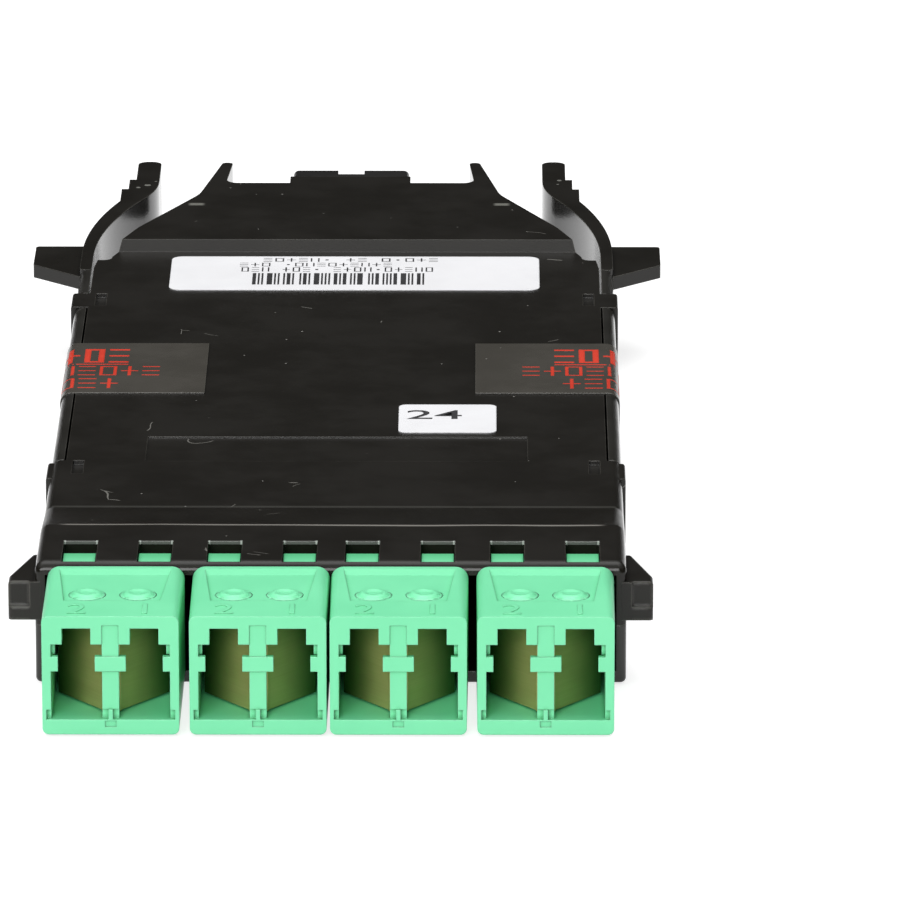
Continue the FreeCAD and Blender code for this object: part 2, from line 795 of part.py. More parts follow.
def sleeves():
    """Two split alignment sleeves."""
    tubes = []
    for side in (-1, 1):
        x = side * port_pitch / 2
        start = V(x, mid_plane - sleeve_half, bore_z)
        end = V(x, mid_plane + sleeve_half, bore_z)
        tube = rod(sleeve_outer, start, end).cut(rod(sleeve_outer - sleeve_wall, start, end))
        slit = box(x - sleeve_slit / 2, x + sleeve_slit / 2, start.y, end.y, bore_z, bore_z + overlap)
        tubes.append(tube.cut(slit))
    return Part.makeCompound(tubes)


def shutter(side):
    """Metal leaf with its roll, standing across a port at rest."""
    pivot = V(side * (rib_half - leaf_pocket + leaf_roll), leaf_back, 0)
    low = port_floor + leaf_gap
    high = port_top - leaf_gap
    roll = Part.makeCylinder(leaf_roll, high - low, V(pivot.x, pivot.y, low))
    leaf = box(pivot.x - leaf_thickness / 2, pivot.x + leaf_thickness / 2,
               pivot.y, pivot.y + leaf_length, low, high)
    leaf.rotate(pivot, V(0, 0, 1), -side * leaf_open_angle)
    return roll.fuse(leaf).removeSplitter()


def inner_plugs():
    """Two simplex plugs that fill the inner ports of one adapter."""
    plugs = []
    for side in (-1, 1):
        x = side * port_pitch / 2
        half = plug_width / 2
        nose = mid_plane + sleeve_half + sleeve_gap + holder_lip + holder_lip
        tail = nose + plug_length
        plug = box(x - half, x + half, nose, tail, bore_z - half, bore_z + half)
        plug = plug.fuse(rod(ferrule, V(x, mid_plane + holder_lip, bore_z), V(x, nose + overlap, bore_z)))
        cone = Part.makeCone(boot, boot_neck, boot_length, V(x, tail, bore_z), V(0, 1, 0))
        plugs.append(plug.fuse(cone))
    return Part.makeCompound(plugs)


# ---- fibres ----------------------------------------------------------------
def lead_start():
    """Where the leads leave the inner plugs' boots."""
    return mid_plane + sleeve_half + sleeve_gap + 2 * holder_lip + plug_length + boot_length


def fibre_leads():
    """Eight jacketed fibres from the inner plugs to the fan-out block."""
    tubes = []
    count = 2 * adapter_count
    first = lead_start()
    last = collar_face + block_back
    for i in range(count):
        x0 = adapter_places[i // 2] + (2 * (i % 2) - 1) * port_pitch / 2
        x1 = (i - (count - 1) / 2) * lead_pitch
        path = Part.makePolygon([V(x0, first, bore_z), V(x0, first + lead_slack, bore_z),
                                 V(x1, last - lead_slack, bore_z), V(x1, last, bore_z)])
        ring = Part.Wire(Part.makeCircle(lead, V(x0, first, bore_z), V(0, 1, 0)))
        tubes.append(path.makePipeShell([ring], True, False, mitred))
    return Part.makeCompound(tubes)


def fanout_block():
    """Potted block where the ribbon divides into single fibres."""
    front = collar_face + block_back
    half = block_width / 2
    block = box(-half, half, front, front + block_length, floor, bore_z + block_height / 2)
    return round_edges(block, tab_round, lambda b: b.ZLength > block_height / 2 and b.XLength < fit_gap)


def fibre_ribbon():
    """Flat ribbon from the fan-out block to the inner multi-fibre plug."""
    start = collar_face + block_back + block_length
    end = rear_plug_tail()
    rise = rear_axis() - bore_z
    half = ribbon_thickness / 2
    low = bore_z
    points = [(start, low - half), (start + lead_slack, low - half), (end - lead_slack, low + rise - half),
              (end, low + rise - half), (end, low + rise + half), (end - lead_slack, low + rise + half),
              (start + lead_slack, low + half), (start, low + half)]
    return side_prism(points, ribbon_width / 2)


# ---- rear adapter ----------------------------------------------------------
def rear_axis():
    """Height of the rear port's axis."""
    return (floor + rear_adapter_top) / 2


def rear_plug_front():
    """Front of the rear adapter's own solid."""
    return rear_end - rear_adapter_length


def rear_plug_tail():
    """Front end of the inner plug's boot."""
    return rear_plug_front() - inner_plug_reach - inner_boot_length


def mpo_adapter():
    """Rear adapter: keyed port behind, square port inside, flange between."""
    half = rear_adapter_width / 2
    front = rear_plug_front()
    body = front_profile(rounded_rectangle(half, floor, rear_adapter_top, face_corner), front, rear_end)
    flange_start = rear_end - flange_back
    flange = box(-flange_width / 2, flange_width / 2, flange_start, flange_start + flange_length,
                 floor, rear_adapter_top)
    body = body.fuse(flange)
    axis = rear_axis()
    mouth = rear_end - rear_port_depth
    port = box(-rear_port_width / 2, rear_port_width / 2, mouth, rear_end + overlap,
               axis - rear_port_height / 2, axis + rear_port_height / 2)
    key = box(-rear_key_width / 2, rear_key_width / 2, mouth, rear_end + overlap,
              axis, axis + rear_port_height / 2 + rear_key_drop)
    dip = box(-rear_key_width / 2, rear_key_width / 2, rear_end - rear_key_depth, rear_end + overlap,
              axis, rear_adapter_top + overlap)
    side = box(-rear_port_width / 2 - rear_side_slot, rear_port_width / 2 + rear_side_slot,
               mouth, rear_end + overlap, axis - rear_key_width / 2, axis + rear_key_width / 2)
    inner = box(-inner_port_width / 2, inner_port_width / 2, front - overlap, mouth + overlap,
                axis - inner_port_height / 2, axis + inner_port_height / 2)
    return body.cut([port, key, dip, side, inner]).removeSplitter()


def mpo_plug():
    """Inner multi-fibre plug: housing, ferrule with two guide pins, and boot."""
    axis = rear_axis()
    gap = housing_gap
    front = rear_plug_front()
    mouth = rear_end - rear_port_depth
    half = inner_port_width / 2 - gap
    tall = inner_port_height / 2 - gap
    tail = front - inner_plug_reach
    plug = box(-half, half, tail, mouth, axis - tall, axis + tall)
    ferrule_block = box(-mt_width / 2, mt_width / 2, mouth, mouth + mt_reach,
                        axis - mt_height / 2, axis + mt_height / 2)
    plug = plug.fuse(ferrule_block)
    for side in (-1, 1):
        x = side * pin_pitch / 2
        plug = plug.fuse(rod(pin_radius, V(x, mouth + mt_reach - overlap, axis),
                             V(x, mouth + mt_reach + pin_reach, axis)))
    cone = Part.makeCone(boot, inner_boot, inner_boot_length, V(0, tail - inner_boot_length, axis), V(0, 1, 0))
    return plug.fuse(cone).removeSplitter()


# ---- labels ----------------------------------------------------------------
def id_label():
    """Wide label in front of the raised part."""
    left = id_shift - id_half
    right = id_shift + id_half
    rear = id_y + id_length
    return slab([(left, id_y, id_corner), (right, id_y, id_corner),
                 (right, rear, id_corner), (left, rear, id_corner)], deck_height, deck_height + film)


def small_label():
    """Small square label on the right of the deck."""
    left = tag_centre - tag_width / 2
    right = tag_centre + tag_width / 2
    rear = tag_y + tag_length
    return slab([(left, tag_y, tag_corner), (right, tag_y, tag_corner),
                 (right, rear, tag_corner), (left, rear, tag_corner)], deck_height, deck_height + film)


def seal():
    """Film on the right that crosses the deck's edge and folds down the side band."""
    top = deck_height
    side = body_half
    inner = side - seal_width
    low = top - seal_drop
    points = [(inner, top, 0), (side, top, top_round), (side, low, 0), (side + film, low, 0),
              (side + film, top + film, top_round + film), (inner, top + film, 0)]
    return front_profile(points, seal_y, seal_y + seal_length)


# ---- the whole cassette ----------------------------------------------------
def all_pieces():
    """Every piece by its name, in place."""
    pieces = {
        "base_tray": base_tray(),
        "top_cover": top_cover(),
        "release_arm_right": release_arm(),
        "release_arm_left": mirrored(release_arm()),
        "mpo_adapter": mpo_adapter(),
        "mpo_plug": mpo_plug(),
        "fibre_ribbon": fibre_ribbon(),
        "fanout_block": fanout_block(),
        "fibre_leads": fibre_leads(),
        "id_label": id_label(),
        "small_label": small_label(),
        "seal_right": seal(),
        "seal_left": mirrored(seal()),
    }
    repeated = {"front_shell": front_shell(), "rear_shell": rear_shell(), "sleeves": sleeves(),
                "plugs": inner_plugs(), "shutter_left": shutter(-1), "shutter_right": shutter(1)}
    for number, centre in enumerate(adapter_places, 1):
        for name, shape in repeated.items():
            piece = shape.copy()
            piece.translate(V(centre, 0, 0))
            pieces["adapter_%d_%s" % (number, name)] = piece
    return pieces


def main():
    """Centre the cassette on the origin and write one file for each piece."""
    os.makedirs("parts", exist_ok=True)
    pieces = all_pieces()
    rear = max(shape.BoundBox.YMax for shape in pieces.values())
    for name, shape in sorted(pieces.items()):
        shape.translate(V(0, -rear / 2, 0))
        shape.exportStep("parts/%s.step" % name)
        print(name, "solids", len(shape.Solids), "valid", shape.isValid(), "volume %.1f" % shape.Volume)
    print("length %.2f" % rear)


main()
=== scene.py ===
# %% [markdown]
# # A fibre cassette
# The object is a flat black housing for optical fibres. Four green duplex adapters
# look out of its front, a multi-fibre adapter looks out of its rear, and two sprung
# arms behind release it from its rack. The solids come from the CAD frame, in
# metres. This lesson adds the light, the finishes, the print and the dust.

# %% The frame
import json
import math
import bmesh
import bpy
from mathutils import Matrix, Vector


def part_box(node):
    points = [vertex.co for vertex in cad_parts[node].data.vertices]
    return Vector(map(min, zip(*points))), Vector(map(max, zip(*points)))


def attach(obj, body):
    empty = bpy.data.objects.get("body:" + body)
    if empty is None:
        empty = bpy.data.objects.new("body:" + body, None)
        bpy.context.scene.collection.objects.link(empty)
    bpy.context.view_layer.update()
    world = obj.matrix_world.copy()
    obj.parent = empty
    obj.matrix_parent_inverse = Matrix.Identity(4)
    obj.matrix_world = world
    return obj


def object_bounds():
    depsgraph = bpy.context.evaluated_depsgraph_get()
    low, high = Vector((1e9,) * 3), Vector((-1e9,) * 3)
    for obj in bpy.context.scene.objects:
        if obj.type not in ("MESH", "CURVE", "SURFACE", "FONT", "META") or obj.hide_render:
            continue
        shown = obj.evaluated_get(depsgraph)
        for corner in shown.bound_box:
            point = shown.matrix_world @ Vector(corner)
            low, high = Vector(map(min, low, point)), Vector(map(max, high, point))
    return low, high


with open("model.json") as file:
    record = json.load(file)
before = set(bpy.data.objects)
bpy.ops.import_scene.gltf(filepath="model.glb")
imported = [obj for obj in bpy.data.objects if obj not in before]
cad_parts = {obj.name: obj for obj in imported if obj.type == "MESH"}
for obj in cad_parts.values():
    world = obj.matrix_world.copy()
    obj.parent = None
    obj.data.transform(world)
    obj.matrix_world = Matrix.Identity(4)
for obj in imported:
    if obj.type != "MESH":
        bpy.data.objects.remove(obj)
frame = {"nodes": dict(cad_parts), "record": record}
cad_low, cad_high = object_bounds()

mm = 0.001
print("CAD box, mm:", [round((high - low) / mm, 1) for low, high in zip(cad_low, cad_high)])

# %% [markdown]
# ## Camera
# The cassette is seen from its front end, a little to the right of its middle and
# from about 17 degrees above. A long lens from almost a metre away keeps the sides
# nearly parallel, as a product photographer would, so that the eight ports look
# alike. The camera stands still and only its place and two angles are set.

# %% Camera
view_aside = 14.5 * mm
view_back = 852.95 * mm     # in front of the cassette's front end
view_height = 285.0 * mm
view_down = 16.8            # degrees below level
view_turn = 0.222           # degrees to the left
camera_data = bpy.data.cameras.new("camera")
camera_data.sensor_width = 36.0
camera_data.lens = 390.8
camera_data.clip_end = 20.0
camera = bpy.data.objects.new("camera", camera_data)
camera.location = (view_aside, cad_low[1] - view_back, view_height)
camera.rotation_euler = (math.radians(90 - view_down), 0, math.radians(view_turn))
bpy.context.scene.collection.objects.link(camera)
bpy.context.scene.camera = camera
bpy.context.scene.view_settings.view_transform = "Standard"
print("camera at", [round(value, 3) for value in camera.location])

# %% [markdown]
# ## Node helpers
# Every finish is a small network of shader nodes, and a few helpers keep the
# recipes short. One makes a node with its settings and plain values. One makes a
# node group with named sockets, so that an effect such as edge wear is built once
# and used by many materials. The others build masks: a mask is a value from 0 to 1
# that says where a mark lies, and masks are multiplied to narrow a place down.

# %% Node helpers
def add(tree, kind, inputs=None, **settings):
    """One shader node with its settings, and plain values or links for its inputs."""
    made = tree.nodes.new(kind)
    for name, value in settings.items():
        setattr(made, name, value)
    for name, value in (inputs or {}).items():
        if isinstance(value, bpy.types.NodeSocket):
            tree.links.new(value, made.inputs[name])
        else:
            made.inputs[name].default_value = value
    return made


def math_node(tree, operation, first, second=0.0):
    """The output of one Math node."""
    return add(tree, "ShaderNodeMath", {0: first, 1: second}, operation=operation).outputs[0]


def smooth_step(tree, value, low, high, start=0.0, end=1.0):
    """A value's smooth rise between two limits."""
    made = add(tree, "ShaderNodeMapRange", {"Value": value, "From Min": low, "From Max": high,
                                            "To Min": start, "To Max": end},
               interpolation_type="SMOOTHSTEP")
    return made.outputs["Result"]


def mix_colour(tree, factor, first, second):
    """The colour output of one Mix node, whose colour sockets are numbers 6 and 7."""
    return add(tree, "ShaderNodeMix", {0: factor, 6: first, 7: second}, data_type="RGBA").outputs[2]


def object_axes(tree):
    """The X, Y and Z of each point of a piece."""
    place = add(tree, "ShaderNodeTexCoord").outputs["Object"]
    return add(tree, "ShaderNodeSeparateXYZ", {"Vector": place}).outputs


def band(tree, value, middle, half, soft):
    """1 within a distance of a middle value, with a soft end."""
    away = math_node(tree, "ABSOLUTE", math_node(tree, "SUBTRACT", value, middle))
    return smooth_step(tree, away, half + soft, half)


def times(tree, *masks):
    """The product of several masks."""
    result = masks[0]
    for mask in masks[1:]:
        result = math_node(tree, "MULTIPLY", result, mask)
    return result


def shader_group(name, inputs, outputs):
    """An empty node group with named float inputs and typed outputs, and its two end nodes."""
    group = bpy.data.node_groups.new(name, "ShaderNodeTree")
    for label, value in inputs.items():
        socket = group.interface.new_socket(label, in_out="INPUT", socket_type="NodeSocketFloat")
        socket.default_value = value
    for label, kind in outputs.items():
        group.interface.new_socket(label, in_out="OUTPUT", socket_type=kind)
    return group, group.nodes.new("NodeGroupInput"), group.nodes.new("NodeGroupOutput")


def place_group(tree, group, inputs):
    """One use of a node group in a material."""
    return add(tree, "ShaderNodeGroup", inputs, node_tree=group)


print("node helpers ready")

# %% [markdown]
# ## Studio
# The cassette lies on a white sweep. The world is grey overhead and dark near the
# horizon, like a studio with dark walls, because a low surface mirrors whatever
# stands behind it. A wide soft box overhead and one in front light it evenly. The
# floor glows a little for the camera and for reflections, so that it reads as
# white while it keeps a soft shadow.

# %% Studio
floor_grey = (0.52, 0.52, 0.52, 1.0)
floor_glow = 0.76
floor_drop = 0.2 * mm       # below the cassette, so that the two never share a plane


def studio_world():
    """Grey dome, bright overhead and dark near the horizon."""
    world = bpy.data.worlds.new("studio")
    world.use_nodes = True
    tree = world.node_tree
    tree.nodes.clear()
    place = add(tree, "ShaderNodeTexCoord")
    height = add(tree, "ShaderNodeSeparateXYZ", {"Vector": place.outputs["Generated"]}).outputs["Z"]
    rise = smooth_step(tree, height, 0.3, 0.95, 0.012, 0.62)
    shine = add(tree, "ShaderNodeBackground", {"Color": (1.0, 1.0, 1.0, 1.0), "Strength": rise})
    add(tree, "ShaderNodeOutputWorld", {"Surface": shine.outputs["Background"]})
    bpy.context.scene.world = world


def soft_box(name, place, size, power):
    """A rectangular area lamp that looks at the middle of the cassette."""
    lamp = bpy.data.lights.new(name, "AREA")
    lamp.shape = "RECTANGLE"
    lamp.size, lamp.size_y = size
    lamp.energy = power
    made = bpy.data.objects.new(name, lamp)
    made.location = place
    made.rotation_euler = (-Vector(place)).to_track_quat("-Z", "Y").to_euler()
    bpy.context.scene.collection.objects.link(made)


def sweep_floor():
    """Large floor that looks white and keeps the shadow."""
    form = bmesh.new()
    bmesh.ops.create_grid(form, x_segments=1, y_segments=1, size=4.0)
    mesh = bpy.data.meshes.new("floor")
    form.to_mesh(mesh)
    form.free()
    floor = bpy.data.objects.new("floor", mesh)
    bpy.context.scene.collection.objects.link(floor)
    material = bpy.data.materials.new("white_sweep")
    material.use_nodes = True
    tree = material.node_tree
    tree.nodes.clear()
    path = add(tree, "ShaderNodeLightPath")
    seen = math_node(tree, "MAXIMUM", path.outputs["Is Camera Ray"], path.outputs["Is Glossy Ray"])
    seen = math_node(tree, "MAXIMUM", seen, path.outputs["Is Transmission Ray"])
    glow = math_node(tree, "MULTIPLY", seen, floor_glow)
    paper = add(tree, "ShaderNodeBsdfDiffuse", {"Color": floor_grey})
    light = add(tree, "ShaderNodeEmission", {"Color": (1.0, 1.0, 1.0, 1.0), "Strength": glow})
    both = add(tree, "ShaderNodeAddShader", {0: paper.outputs[0], 1: light.outputs[0]})
    add(tree, "ShaderNodeOutputMaterial", {"Surface": both.outputs[0]})
    mesh.materials.append(material)
    floor.location = (0.0, 0.0, -floor_drop)


studio_world()
sweep_floor()
soft_box("overhead", place=(0.0, 0.10, 1.1), size=(1.0, 0.9), power=8.4)
soft_box("front", place=(-0.30, -1.25, 0.50), size=(0.9, 0.6), power=13.6)
print("lights:", [lamp.name for lamp in bpy.data.lights])

# %% [markdown]
# ## Shared effects
# Moulded parts have soft edges that catch light, a fine skin from the mould and
# slow changes of tone. Each effect is one node group. The edge group compares the
# normal of a small virtual bevel with the true normal, so that it also gives a mask
# of the edges. Dust lies on what faces up, with a few thin bent hairs among it.
# Inner corners get a shade, and one mask tells the walls from what lies level,
# because moulded walls are often smoother than tops.

# %% Shared effects
def edge_group():
    """Softened normal, and a mask that is 1 along sharp edges."""
    group, start, end = shader_group("soft_edges", {"Radius": 0.0002},
                                     {"Normal": "NodeSocketVector", "Edge": "NodeSocketFloat"})
    bevel = add(group, "ShaderNodeBevel", {"Radius": start.outputs["Radius"]}, samples=6)
    true = add(group, "ShaderNodeNewGeometry")
    agree = add(group, "ShaderNodeVectorMath", {0: bevel.outputs[0], 1: true.outputs["Normal"]},
                operation="DOT_PRODUCT")
    edge = smooth_step(group, agree.outputs["Value"], 0.995, 0.85)
    group.links.new(bevel.outputs[0], end.inputs["Normal"])
    group.links.new(edge, end.inputs["Edge"])
    return group


def skin_group():
    """Fine relief of a moulded skin, and slow changes of its tone."""
    group, start, end = shader_group("moulded_skin", {"Grain": 5200.0, "Cloud": 90.0},
                                     {"Relief": "NodeSocketFloat", "Tone": "NodeSocketFloat"})
    place = add(group, "ShaderNodeTexCoord").outputs["Object"]
    fine = add(group, "ShaderNodeTexNoise",
               {"Vector": place, "Scale": start.outputs["Grain"], "Detail": 2.0})
    cloud = add(group, "ShaderNodeTexNoise",
                {"Vector": place, "Scale": start.outputs["Cloud"], "Detail": 4.0, "Roughness": 0.65})
    tone = smooth_step(group, cloud.outputs[0], 0.3, 0.7)
    group.links.new(fine.outputs[0], end.inputs["Relief"])
    group.links.new(tone, end.inputs["Tone"])
    return group


def dust_group():
    """Scattered specks on surfaces that face up."""
    group, start, end = shader_group("dust", {"Cells": 420.0, "Size": 0.1, "Share": 0.05},
                                     {"Specks": "NodeSocketFloat"})
    place = add(group, "ShaderNodeTexCoord").outputs["Object"]
    cells = add(group, "ShaderNodeTexVoronoi", {"Vector": place, "Scale": start.outputs["Cells"]})
    chance = add(group, "ShaderNodeSeparateColor", {"Color": cells.outputs["Color"]})
    chosen = math_node(group, "LESS_THAN", chance.outputs["Red"], start.outputs["Share"])
    reach = math_node(group, "MULTIPLY", start.outputs["Size"], chance.outputs["Green"])
    near = math_node(group, "LESS_THAN", cells.outputs["Distance"], reach)
    normal = add(group, "ShaderNodeNewGeometry").outputs["Normal"]
    up = add(group, "ShaderNodeSeparateXYZ", {"Vector": normal}).outputs["Z"]
    level = math_node(group, "GREATER_THAN", up, 0.8)
    group.links.new(times(group, chosen, near, level), end.inputs["Specks"])
    return group


def upright_group():
    """1 on walls, 0 on what lies level."""
    group, start, end = shader_group("upright", {"Level": 0.5}, {"Wall": "NodeSocketFloat"})
    normal = add(group, "ShaderNodeNewGeometry").outputs["Normal"]
    height = add(group, "ShaderNodeSeparateXYZ", {"Vector": normal}).outputs["Z"]
    wall = math_node(group, "LESS_THAN", math_node(group, "ABSOLUTE", height), start.outputs["Level"])
    group.links.new(wall, end.inputs["Wall"])
    return group


def hair_group():
    """Few thin curved hairs and scratches, scattered over a surface."""
    group, start, end = shader_group("hairs", {"Cells": 150.0, "Width": 0.006, "Share": 0.7},
                                     {"Hairs": "NodeSocketFloat"})
    place = add(group, "ShaderNodeTexCoord").outputs["Object"]
    bent = add(group, "ShaderNodeTexNoise", {"Vector": place, "Scale": 160.0, "Detail": 1.0})
    moved = add(group, "ShaderNodeVectorMath", {0: bent.outputs["Color"], "Scale": 0.006},
                operation="SCALE")
    place_bent = add(group, "ShaderNodeVectorMath", {0: place, 1: moved.outputs[0]}, operation="ADD")
    cells = add(group, "ShaderNodeTexVoronoi",
                {"Vector": place_bent.outputs[0], "Scale": start.outputs["Cells"]},
                feature="DISTANCE_TO_EDGE")
    line = math_node(group, "LESS_THAN", cells.outputs["Distance"], start.outputs["Width"])
    where = add(group, "ShaderNodeTexNoise", {"Vector": place, "Scale": 230.0, "Detail": 0.0})
    chosen = math_node(group, "GREATER_THAN", where.outputs[0], start.outputs["Share"])
    group.links.new(math_node(group, "MULTIPLY", line, chosen), end.inputs["Hairs"])
    return group


def crevice_group():
    """Shade where walls meet in an inner corner."""
    group, start, end = shader_group("crevices", {"Reach": 0.0005}, {"Shade": "NodeSocketFloat"})
    open_share = add(group, "ShaderNodeAmbientOcclusion", {"Distance": start.outputs["Reach"]},
                     samples=5)
    shade = smooth_step(group, open_share.outputs["AO"], 0.95, 0.35, 0.0, 0.75)
    group.links.new(shade, end.inputs["Shade"])
    return group


soft_edges = edge_group()
moulded_skin = skin_group()
dust = dust_group()
upright = upright_group()
hairs = hair_group()
crevices = crevice_group()
print("groups:", [group.name for group in bpy.data.node_groups])

# %% [markdown]
# ## Places on the cover
# Painted highlights stand at a few places where the cassette's edges catch the light:
# the crest between collar and ramp, the end of the ramp, the rear rims of the
# windows, the roots of the ears and the thumb pads, and painted shade darkens the lugs
# seen through the windows. A mask finds each by its distance from the cover's own
# box, so the marks keep their places if the cover moves. Lengths are taken from the
# cover's front face unless a note says otherwise.

# %% Places on the cover
cover_low, cover_high = (Vector(corner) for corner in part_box("top_cover"))
collar_length = 12.0 * mm
ramp_length = 9.2 * mm
crest_y = cover_low.y + collar_length
ramp_end_y = crest_y + ramp_length
window_rear = cover_low.y + 6.7 * mm
window_width = 3.2 * mm
window_middles = (2.925 * mm, 9.975 * mm, 16.475 * mm, 23.525 * mm)    # on each side
ear_root = 16.1 * mm        # from the middle
ear_ledge = 16.8 * mm       # before the cover's rear end
pad_length = 11.5 * mm      # of the thumb pads, before the cassette's rear end
deck_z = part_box("id_label")[0][2]
dust_colour = (0.32, 0.31, 0.29, 1.0)
lint_colour = (0.17, 0.165, 0.15, 1.0)
print("crest and ramp end, mm:", round(crest_y / mm, 1), round(ramp_end_y / mm, 1))

# %% [markdown]
# ## Moulded plastics
# One recipe serves every moulded plastic: a base colour and a slightly different
# cloud colour, lighter edges that are partly wear and partly painted highlight,
# painted shade in inner corners, relief from the mould's skin, specks of dust and
# hairs. Painted highlights and painted shade are laid over it by their masks. Its
# values make it the housing's satin black, the adapters' green, the connectors' pale
# plastic or the ceramic of the sleeves.

# %% Moulded plastics
def blank_material(name):
    """A material with only a Principled shader and its output, and both nodes."""
    material = bpy.data.materials.new(name)
    material.use_nodes = True
    tree = material.node_tree
    tree.nodes.clear()
    shader = tree.nodes.new("ShaderNodeBsdfPrincipled")
    add(tree, "ShaderNodeOutputMaterial", {"Surface": shader.outputs["BSDF"]})
    return material, tree, shader


def moulded_plastic(name, base, cloud, edge, rough, specular=0.5, grain=5200.0, depth=0.4,
                    radius=0.0002, specks=0.05, shade=(0.002, 0.002, 0.002, 1.0),
                    wall_rough=None, hair_share=0.95, marks=(), rounding=None):
    """Injection-moulded plastic. Each mark is a mask and the colour that it paints."""
    material, tree, shader = blank_material(name)
    edges = place_group(tree, soft_edges, {"Radius": rounding(tree) if rounding else radius})
    skin = place_group(tree, moulded_skin, {"Grain": grain, "Cloud": 90.0})
    specks_here = place_group(tree, dust, {"Cells": 700.0, "Size": 0.08, "Share": specks})
    hairs_here = place_group(tree, hairs, {"Cells": 150.0, "Width": 0.006, "Share": hair_share})
    corners = place_group(tree, crevices, {"Reach": 0.0005})
    # Lighter colour along the edges: partly edge wear and partly painted highlight.
    edge_wear_and_highlight = math_node(tree, "MULTIPLY", edges.outputs["Edge"],
                     smooth_step(tree, skin.outputs["Tone"], 0.0, 1.0, 0.45, 1.0))
    colour = mix_colour(tree, skin.outputs["Tone"], base, cloud)
    colour = mix_colour(tree, edge_wear_and_highlight, colour, edge)
    colour = mix_colour(tree, corners.outputs["Shade"], colour, shade)
    for make_mask, paint in marks:
        colour = mix_colour(tree, make_mask(tree), colour, paint)
    colour = mix_colour(tree, hairs_here.outputs["Hairs"], colour, lint_colour)
    colour = mix_colour(tree, specks_here.outputs["Specks"], colour, dust_colour)
    gloss = smooth_step(tree, skin.outputs["Tone"], 0.0, 1.0, rough - 0.03, rough + 0.04)
    if wall_rough is not None:
        walls = place_group(tree, upright, {"Level": 0.5})
        smoother = smooth_step(tree, walls.outputs["Wall"], 0.0, 1.0, 1.0, wall_rough / rough)
        gloss = math_node(tree, "MULTIPLY", gloss, smoother)
    bump = add(tree, "ShaderNodeBump", {"Height": skin.outputs["Relief"], "Strength": depth,
                                        "Distance": 0.00001, "Normal": edges.outputs["Normal"]})
    tree.links.new(colour, shader.inputs["Base Color"])
    tree.links.new(gloss, shader.inputs["Roughness"])
    tree.links.new(bump.outputs["Normal"], shader.inputs["Normal"])
    shader.inputs["Specular IOR Level"].default_value = specular
    return material


def crest_highlight(tree):
    """Painted highlight, thin and slightly wavy, where the collar meets the ramp."""
    place = add(tree, "ShaderNodeTexCoord").outputs["Object"]
    wave = add(tree, "ShaderNodeTexNoise", {"Vector": place, "Scale": 70.0, "Detail": 1.0}).outputs[0]
    spot = add(tree, "ShaderNodeSeparateXYZ", {"Vector": place})
    shift = math_node(tree, "MULTIPLY", math_node(tree, "SUBTRACT", wave, 0.5), 1.1 * mm)
    back = math_node(tree, "ADD", spot.outputs["Y"], shift)
    top = smooth_step(tree, spot.outputs["Z"], cover_high.z - 0.35 * mm, cover_high.z - 0.1 * mm)
    line = band(tree, back, crest_y, 0.10 * mm, 0.22 * mm)
    inside = band(tree, spot.outputs["X"], 0.0, 24.8 * mm, 1.2 * mm)
    return times(tree, line, top, inside)


def ramp_end_highlight(tree):
    """Faint painted highlight where the ramp meets the deck."""
    spot = object_axes(tree)
    line = band(tree, spot["Y"], ramp_end_y, 0.15 * mm, 0.4 * mm)
    above = math_node(tree, "GREATER_THAN", spot["Z"], deck_z - 0.05 * mm)
    return times(tree, line, above, 0.35)


def window_rim_highlight(tree):
    """Painted highlight behind each window, brightest at its two corners."""
    spot = object_axes(tree)
    across = math_node(tree, "ABSOLUTE", spot["X"])
    off = None
    for middle in window_middles:
        here = math_node(tree, "ABSOLUTE", math_node(tree, "SUBTRACT", across, middle))
        off = here if off is None else math_node(tree, "MINIMUM", off, here)
    above = math_node(tree, "GREATER_THAN", spot["Z"], cover_high.z - 0.3 * mm)
    line = times(tree, band(tree, spot["Y"], window_rear + 0.06 * mm, 0.03 * mm, 0.16 * mm),
                 smooth_step(tree, off, 1.65 * mm, 1.5 * mm, 0.0, 0.28))
    corner = times(tree, band(tree, spot["Y"], window_rear, 0.12 * mm, 0.22 * mm),
                   band(tree, off, window_width / 2 - 0.1 * mm, 0.05 * mm, 0.1 * mm))
    return times(tree, math_node(tree, "MAXIMUM", line, corner), above)


def stop_rounding(tree):
    """Edge radius: wide on the front stops, fine elsewhere."""
    spot = object_axes(tree)
    outside = smooth_step(tree, math_node(tree, "ABSOLUTE", spot["X"]), 27.8 * mm, 28.4 * mm)
    return smooth_step(tree, outside, 0.0, 1.0, 0.14 * mm, 0.55 * mm)


def lug_shade(tree):
    """Painted shade on the lugs that show through the windows, darker towards the rear."""
    back = object_axes(tree)["Y"]
    return smooth_step(tree, back, cover_low.y + 0.2 * mm, cover_low.y + 4.6 * mm, 0.0, 0.75)


def ear_glint(tree):
    """Small painted highlight at the root of each ear."""
    spot = object_axes(tree)
    across = band(tree, math_node(tree, "ABSOLUTE", spot["X"]), ear_root, 0.5 * mm, 0.5 * mm)
    along = band(tree, spot["Y"], cover_high.y - ear_ledge, 0.3 * mm, 0.3 * mm)
    above = math_node(tree, "GREATER_THAN", spot["Z"], cover_high.z - 0.1 * mm)
    return times(tree, across, along, above)


def pad_glints(tree):
    """Small painted highlights on the thumb pads behind."""
    spots = place_group(tree, dust, {"Cells": 1000.0, "Size": 0.42, "Share": 0.4})
    back = object_axes(tree)["Y"]
    pad_front = cad_high[1] - pad_length
    on_pad = smooth_step(tree, back, pad_front, pad_front + 0.5 * mm)
    return math_node(tree, "MULTIPLY", spots.outputs["Specks"], on_pad)


